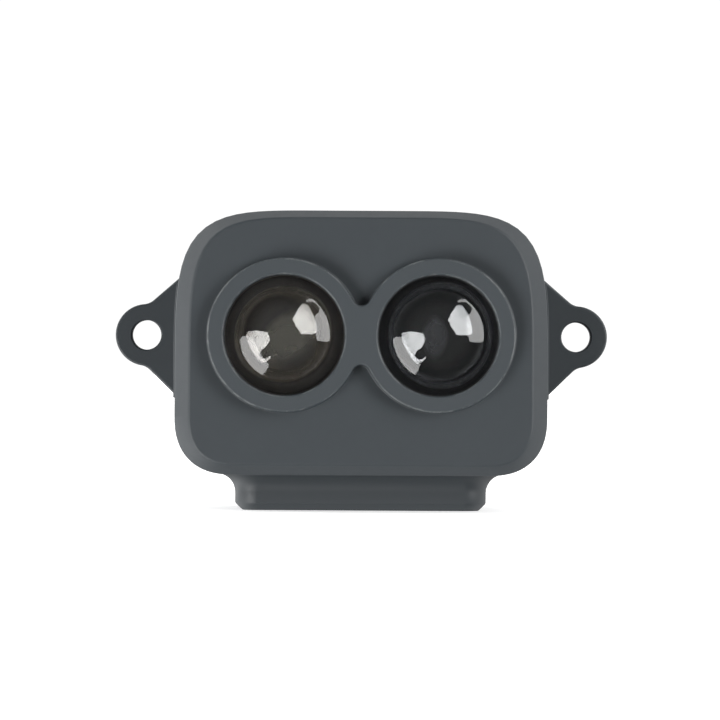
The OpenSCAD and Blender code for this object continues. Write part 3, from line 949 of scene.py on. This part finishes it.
def make_tube(node, name, x):
    """A light tube whose inside narrows in steps down to the stop in front of the chip."""
    y0, y1 = TUBE_Y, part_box(node)[1].y
    steps, soft = 6, 0.05 * MM
    inside = []
    for i in range(steps):
        r = DOME_R - (DOME_R - TUBE_END_R) * i / steps
        step_y = y0 + (STOP_Y - y0) * (i + 1) / steps
        inside.append((r, y0 + (STOP_Y - y0) * i / steps + (soft if i else 0)))
        inside.append((r, step_y - soft))
        inside.append((r - soft, step_y))
    inside += [(TUBE_END_R, STOP_Y), (TUBE_END_R, POCKET_Y), (POCKET_R, POCKET_Y), (POCKET_R, y1)]
    outside = [(LENS_R, y1), (LENS_R, y0)]
    return smooth(ring_lathe(name, inside + outside, x))


# ---- Inside ----


def make_block(node, name, edge):
    """A plain block with rounded edges, as large as its node: an LED package, a chip or a filter."""
    low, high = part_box(node)
    return smooth(soft_box(name, low, high, edge))


def make_dome(node):
    """The clear dome over the LED's die."""
    low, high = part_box(node)
    centre = middle(node)
    r, depth = (high.x - low.x) / 2, high.y - low.y
    steps = 24
    profile = [(0, high.y - depth)]
    for i in range(1, steps + 1):
        a = radians(90 * i / steps)
        profile.append((r * sin(a), high.y - depth * cos(a)))
    return smooth(lathe(node + "_clear", profile, centre.x, centre.z, HOLE_STEPS), 40)


# ---- Rear ----

HEAD_R = 1.2 * MM
HEAD_H = 0.8 * MM
HEAD_ROUND = 0.4 * MM
SHANK_R = 0.8 * MM
SHANK_ROOT_R = 0.62 * MM
SHANK_TIP_R = 0.3 * MM
SHANK_TIP_LONG = 0.5 * MM
SHANK_TIP_Y = -5 * MM
SHANK_PLAIN = 1.2 * MM
THREAD_PITCH = 0.6 * MM
RECESS_W = 0.32 * MM
RECESS_LONG = 1.45 * MM
RECESS_DEEP = 0.45 * MM
RECESS_TAPER = 0.3 * MM
# How far each screw is turned, in degrees
SCREW_TURNS = (12, 57, 78, 31)
# The cable socket: walls, floor, and the two key slots' distance from its middle and half width
SOCKET_WALL = 0.65 * MM
SOCKET_FLOOR = 0.9 * MM
KEY_SLOT_X = 1.9 * MM
KEY_SLOT_HALF_W = 0.3 * MM
PIN_PITCH = 1.25 * MM
PIN_HALF = 0.2 * MM
PIN_UP = 2 * MM


def screw_profile(seat_y, top_y):
    """Half a pan-head screw from its tip to the top of its head; the thread is a row of ridges."""
    y = SHANK_TIP_Y + SHANK_TIP_LONG
    profile = [(0, SHANK_TIP_Y), (SHANK_TIP_R, SHANK_TIP_Y), (SHANK_ROOT_R, y)]
    while y + THREAD_PITCH < seat_y - SHANK_PLAIN:
        profile.append((SHANK_R, y + 0.42 * THREAD_PITCH))
        profile.append((SHANK_R, y + 0.55 * THREAD_PITCH))
        profile.append((SHANK_ROOT_R, y + THREAD_PITCH))
        y += THREAD_PITCH
    soft, side_y = 0.05 * MM, top_y - 0.45 * MM
    profile += [(SHANK_R, y + 0.2 * MM), (SHANK_R, seat_y)]
    profile += [(HEAD_R - soft, seat_y), (HEAD_R, seat_y + soft), (HEAD_R, side_y)]
    for i in range(1, 9):
        a = radians(90 * i / 8)
        profile.append((HEAD_R - HEAD_ROUND * (1 - cos(a)), side_y + HEAD_ROUND * sin(a)))
    return profile + [(0.4 * MM, top_y - 0.012 * MM), (0, top_y)]


def recess_blade(x, z, top_y, turn):
    """A cutter for one slot of a cross recess, which narrows as it goes down."""
    half = RECESS_W / 2
    a = radians(turn)
    rings = []
    for y, long, thick in (
        (top_y - RECESS_DEEP, RECESS_LONG / 2 - RECESS_TAPER, half * 0.6),
        (top_y + 0.05 * MM, RECESS_LONG / 2, half),
    ):
        corners = [(-long, -thick), (long, -thick), (long, thick), (-long, thick)]
        rings.append([(x + u * cos(a) - w * sin(a), y, z + u * sin(a) + w * cos(a)) for u, w in corners])
    return skin("cutter", rings)


def make_screw(x, z, turn):
    """A pan-head screw with a cross recess; its tip points forward into the front housing."""
    seat_y = REAR_Y - HEAD_HOLE_DEEP
    top_y = seat_y + HEAD_H
    screw = lathe("screw", screw_profile(seat_y, top_y), x, z, 48)
    return cut(screw, recess_blade(x, z, top_y, turn), recess_blade(x, z, top_y, turn + 90))


def make_screws():
    screws = [make_screw(x, z, turn) for (x, z), turn in zip(SCREWS, SCREW_TURNS)]
    return smooth(join("case_screws", screws))


def make_socket():
    """The cable socket: a shell open at the rear, with two key slots in its upper wall."""
    low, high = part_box("socket_body")
    at = middle("socket_body")
    w, h = high.x - low.x, high.z - low.z

    def outline(d):
        return rounded_rect(w - 2 * d, h - 2 * d, 0.25 * MM - d / 2, 4)

    shell = soft_slab("socket_shell", outline, low.y, high.y, 0.08 * MM, at.x, at.z)
    widening = 0.2 * MM
    mouth_w, mouth_h = w - 2 * SOCKET_WALL, h - 2 * SOCKET_WALL
    mouth = rounded_rect(mouth_w, mouth_h, 0.15 * MM, 4)
    flare = rounded_rect(mouth_w + widening, mouth_h + widening, 0.2 * MM, 4)
    rings = [at_y(mouth, y, at.x, at.z) for y in (low.y + SOCKET_FLOOR, high.y - 0.12 * MM)]
    rings += [at_y(flare, y, at.x, at.z) for y in (high.y + 0.01 * MM, high.y + OVER)]
    cut(shell, skin("cutter", rings))
    for x in (-KEY_SLOT_X, KEY_SLOT_X):
        slot_y, slot_z = low.y + SOCKET_FLOOR + 0.9 * MM, high.z - SOCKET_WALL
        slot_low = (at.x + x - KEY_SLOT_HALF_W, slot_y, slot_z - 0.1 * MM)
        slot_high = (at.x + x + KEY_SLOT_HALF_W, high.y + OVER, slot_z + 0.3 * MM)
        cut(shell, sharp_box(slot_low, slot_high))
    return smooth(tidy(shell))


def make_pins():
    """Four square pins with pointed ends."""
    low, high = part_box("socket_pins")
    centre = middle("socket_pins")
    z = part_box("socket_body")[0].z + PIN_UP
    pins = []
    for i in range(4):
        x = centre.x + (i - 1.5) * PIN_PITCH
        rings = []
        for y, size in ((low.y, PIN_HALF), (high.y - 0.35 * MM, PIN_HALF), (high.y, PIN_HALF * 0.45)):
            ring = rounded_rect(2 * size, 2 * size, 0.05 * MM * size / PIN_HALF, 2)
            rings.append(at_y(ring, y, x, z))
        pins.append(skin("pin", rings))
    return smooth(join("contact_pins", pins))


def make_label():
    """A blank film with rounded corners."""
    low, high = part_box("rear_label")
    at = middle("rear_label")
    w, h = high.x - low.x, high.z - low.z

    def outline(d):
        return rounded_rect(w - 2 * d, h - 2 * d, 0.6 * MM - d)

    return smooth(soft_slab("label_film", outline, low.y, high.y, 0.03 * MM, at.x, at.z))


# ---- Build ----

# Tint and haze of each lens, the colour of its painted rim shade, and how strongly its back and its coated
# front reflect
EMITTER_TINT = (0.95, 0.94, 0.91)
# Painted shade: the darker lens colour inside each rim.
EMITTER_RIM_SHADE = (0.34, 0.3, 0.27)
EMITTER_HAZE = 0.012
RECEIVER_TINT = (0.93, 0.95, 0.96)
RECEIVER_RIM_SHADE = (0.34, 0.36, 0.38)
RECEIVER_HAZE = 0.005
BACK_COATING = 1.6
FRONT_COATING = 0.65
LENS_IOR = 1.5
SILICONE_IOR = 1.41


def lens_glass(node, tint, haze, rim_shade):
    """The two materials of a lens: its body and back, and its coated front."""
    return [
        optical(node + "_plastic", tint, haze, BACK_COATING, LENS_IOR),
        optical(node + "_coated", tint, haze, FRONT_COATING, LENS_IOR, node, rim_shade),
    ]


CASE = case_plastic("case_plastic")
FRONT_CASE = front_case_plastic("case_plastic_front")
SEAL = rubber("seal_rubber", (0.012, 0.012, 0.013), (0.02, 0.02, 0.022))
EMITTER_GLASS = lens_glass("emitter_lens", EMITTER_TINT, EMITTER_HAZE, EMITTER_RIM_SHADE)
RECEIVER_GLASS = lens_glass("receiver_lens", RECEIVER_TINT, RECEIVER_HAZE, RECEIVER_RIM_SHADE)
EMITTER_TUBE = plastic("emitter_tube_plastic", (0.17, 0.14, 0.115), (0.21, 0.175, 0.145), (0.45, 0.6))
RECEIVER_TUBE = plastic("receiver_tube_plastic", (0.03, 0.033, 0.036), (0.042, 0.046, 0.05), (0.45, 0.6))
FOAM = rubber("divider_foam", (0.01, 0.01, 0.01), (0.03, 0.03, 0.03))
BOARD = circuit_board()
# The LED's die and the chip's active area: how far each lies off its node's middle, and its half sizes
DIE_AT = (-0.07 * MM, 0.02 * MM)
DIE_HALF = (0.2 * MM, 0.1 * MM)
DIE_TURN = -38
AREA_AT = (0.07 * MM, 0.02 * MM)
AREA_HALF = (0.11 * MM, 0.21 * MM)
CERAMIC = marked(
    "led_ceramic", (0.05, 0.045, 0.04), (0.5, 0.5, 0.43), "emitter_led", DIE_AT, DIE_HALF, DIE_TURN
)
SILICONE = optical("led_silicone", (0.98, 0.98, 0.97), 0.0, 1.0, SILICONE_IOR)
FILTER = marked(
    "filter_coating", (0.018, 0.019, 0.021), (0.29, 0.29, 0.31), "receiver_filter", AREA_AT, AREA_HALF, 0
)
CHIP = plastic("chip_plastic", (0.012, 0.012, 0.013), (0.02, 0.02, 0.021), (0.5, 0.65))
TIN = metal("tinned_steel", (0.62, 0.61, 0.58), (0.28, 0.42))
NYLON = plastic("connector_plastic", (0.62, 0.6, 0.54), (0.7, 0.68, 0.62), (0.4, 0.5), 0.002)
BRIGHT = metal("bright_steel", (0.55, 0.56, 0.57), (0.2, 0.34))
FERRITE = plastic("ferrite", (0.03, 0.03, 0.032), (0.06, 0.06, 0.062), (0.6, 0.8))
CERAMIC_TAN = plastic("capacitor_ceramic", (0.3, 0.2, 0.12), (0.36, 0.25, 0.15), (0.4, 0.5))
GOLD = metal("gold_plate", (0.83, 0.6, 0.24), (0.18, 0.3))
LABEL = plastic("label_film", (0.56, 0.57, 0.58), (0.6, 0.61, 0.62), (0.3, 0.4), 0.001, 0.5, 3000)
SCREW = metal("screw_steel", (0.16, 0.16, 0.165), (0.3, 0.45))

place(make_front_housing(), "front_housing", "case_plastic", FRONT_CASE).name = "front_case"
place(make_rear_housing(), "rear_housing", "case_plastic", CASE).name = "rear_case"
place(make_lens("emitter_lens_glass", EMITTER_X), "emitter_lens", "emitter_lens_plastic", *EMITTER_GLASS)
place(make_lens("receiver_lens_glass", RECEIVER_X), "receiver_lens", "receiver_lens_plastic", *RECEIVER_GLASS)
for side, x in (("emitter", EMITTER_X), ("receiver", RECEIVER_X)):
    place(make_seal(side + "_lens_seal_ring", x), side + "_lens_seal", "seal_rubber", SEAL)
for side, x, inside in (("emitter", EMITTER_X, EMITTER_TUBE), ("receiver", RECEIVER_X, RECEIVER_TUBE)):
    tube = make_tube(side + "_tube", side + "_light_tube", x)
    place(tube, side + "_tube", side + "_tube_plastic", inside)
place(make_screws(), "housing_screws", "screw_steel", SCREW)
place(make_socket(), "socket_body", "connector_plastic", NYLON)
place(make_pins(), "socket_pins", "gold_plate", GOLD)
place(make_label(), "rear_label", "label_film", LABEL)

place(make_block("emitter_led", "led_package", 0.06 * MM), "emitter_led", "led_ceramic", CERAMIC)
place(make_dome("emitter_dome"), "emitter_dome", "led_silicone", SILICONE)
place(make_block("receiver_chip", "receiver_chip_case", 0.05 * MM), "receiver_chip", "chip_plastic", CHIP)
cover = make_block("receiver_filter", "receiver_filter_glass", 0.04 * MM)
place(cover, "receiver_filter", "filter_glass", FILTER)

# CAD nodes that are carried over as they are, with a material each
KEPT = {
    "housing_gasket": SEAL,
    "light_divider": FOAM,
    "sensor_board": BOARD,
    "main_board": BOARD,
    "receiver_shield": TIN,
    "driver_chip": CHIP,
    "board_plug": NYLON,
    "board_socket": NYLON,
    "board_screws": BRIGHT,
    "processor_chip": CHIP,
    "regulator_chip": CHIP,
    "power_inductor": FERRITE,
    "crystal": TIN,
    "capacitors": CERAMIC_TAN,
    "resistors": CHIP,
    "socket_tabs": TIN,
    "socket_seal": SEAL,
}
for node, material in KEPT.items():
    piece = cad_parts[node]
    piece.data.materials.clear()
    piece.data.materials.append(material)

# ---- Studio ----

FLOOR_HALF = 3.0
FLOOR_SINK = 0.01 * MM
FLOOR_GLOW = 0.5
# Strengths of the light tent, of the light from everywhere, and of the backdrop that the camera sees
TENT_LEFT = 2.8
TENT_RIGHT = 1.4
TENT_ABOVE = 1.1
TENT_BELOW = 0.5
TENT_BASE = 0.1
ROOM_LIGHT = 0.12
BACKDROP = 1.05
# The soft lamps stand in one plane in front of the part. Their corners are given as degrees to the right and
# degrees up, as seen from the origin.
LAMP_PLANE = 0.35
LAMP_GLOW = 11
KEY_LAMP = [
    (61.1, -3.3), (61.7, 3.1), (58.5, 14.1), (53.7, 26.8), (50.9, 35.6), (44.6, 42.4), (35.4, 42),
    (27.6, 39.1), (27.6, 36.2), (34.5, 38.3), (41.2, 37.4), (46.4, 31.3), (42.6, 25.5), (34.2, 20.9),
    (29.5, 11.6), (29.6, 2.7), (33.3, -5.3), (49.7, -6.5),
]
FILL_LAMP = [
    (-55.2, -3.9), (-49.1, -1.1), (-35.1, -1.7), (-31.6, -7.6), (-25.7, -17.7), (-19.2, -30.5), (-24, -37.4),
    (-39.1, -48), (-50, -44.7), (-53.3, -31.2), (-55.2, -18.1),
]


def stage_material(name, colour, glow):
    """A matt material that glows white."""
    material, _, shader = new_material(name)
    shader.inputs["Base Color"].default_value = (*colour, 1)
    shader.inputs["Roughness"].default_value = 0.9
    shader.inputs["Specular IOR Level"].default_value = 0
    shader.inputs["Emission Color"].default_value = (1, 1, 1, 1)
    shader.inputs["Emission Strength"].default_value = glow
    return material


def make_floor():
    """A pale floor that only the camera sees. It casts no shadow, so light from below passes it."""
    bm = bmesh.new()
    half = FLOOR_HALF
    corners = [(-half, -half), (half, -half), (half, half), (-half, half)]
    bm.faces.new([bm.verts.new((x, y, BASE_Z - FLOOR_SINK)) for x, y in corners])
    floor = from_bmesh("floor", bm)
    floor.data.materials.append(stage_material("floor", (0.85, 0.85, 0.85), FLOOR_GLOW))
    floor.visible_glossy = False
    floor.visible_diffuse = False
    floor.visible_transmission = False
    floor.visible_shadow = False


def make_lamp(name, outline):
    """A flat glowing shape that the camera doesn't see."""
    bm = bmesh.new()
    points = []
    for side, up in outline:
        x = LAMP_PLANE * sin(radians(side)) / cos(radians(side))
        z = LAMP_PLANE * sin(radians(up)) / cos(radians(up)) / cos(radians(side))
        points.append(bm.verts.new((x, -LAMP_PLANE, z)))
    bm.faces.new(points)
    lamp = from_bmesh(name, bm)
    lamp.data.materials.append(stage_material(name, (0, 0, 0), LAMP_GLOW))
    lamp.visible_camera = False


def make_world():
    """A light tent behind the part: brightest at the left, softer at the right and above, weak below."""
    world = bpy.data.worlds.new("studio")
    world.use_nodes = True
    bpy.context.scene.world = world
    tree = world.node_tree
    tree.nodes.clear()
    out = tree.nodes.new("ShaderNodeOutputWorld")
    background = tree.nodes.new("ShaderNodeBackground")
    background.inputs["Color"].default_value = (1, 1, 1, 1)
    coords = tree.nodes.new("ShaderNodeTexCoord")
    direction = tree.nodes.new("ShaderNodeSeparateXYZ")
    tree.links.new(coords.outputs["Generated"], direction.inputs[0])
    behind = ease(tree, direction.outputs["Y"], -0.45, 0.1)
    left = ease(tree, direction.outputs["X"], -0.2, -0.9, TENT_LEFT)
    right = ease(tree, direction.outputs["X"], 0.2, 0.9, TENT_RIGHT)
    above = ease(tree, direction.outputs["Z"], 0.1, 0.9, TENT_ABOVE)
    below = ease(tree, direction.outputs["Z"], -0.1, -0.9, TENT_BELOW)
    sides = maths(tree, "ADD", left, right)
    ends = maths(tree, "ADD", above, below)
    tent = maths(tree, "ADD", maths(tree, "ADD", sides, ends), TENT_BASE)
    light = maths(tree, "ADD", maths(tree, "MULTIPLY", tent, behind), ROOM_LIGHT)
    path = tree.nodes.new("ShaderNodeLightPath")
    seen = maths(tree, "MAXIMUM", light, maths(tree, "MULTIPLY", path.outputs["Is Camera Ray"], BACKDROP))
    tree.links.new(seen, background.inputs["Strength"])
    tree.links.new(background.outputs["Background"], out.inputs["Surface"])


def make_camera():
    """A level view from straight ahead. The frame is as wide as the photographed field at the ears."""
    distance, field, sensor = 0.350, 51.28 * MM, 36
    aim_x, aim_z, roll = -0.084 * MM, -1.705 * MM, -0.32
    camera = bpy.data.objects.new("camera", bpy.data.cameras.new("camera"))
    bpy.context.scene.collection.objects.link(camera)
    camera.data.sensor_width = sensor
    camera.data.lens = sensor * distance / field
    camera.data.clip_start = 0.01
    camera.location = (aim_x, SPLIT_Y - distance, aim_z)
    camera.rotation_euler = (pi / 2, radians(roll), 0)
    bpy.context.scene.camera = camera


make_floor()
make_world()
make_camera()
make_lamp("key_lamp", KEY_LAMP)
make_lamp("fill_lamp", FILL_LAMP)
bpy.context.scene.view_settings.view_transform = "Standard"
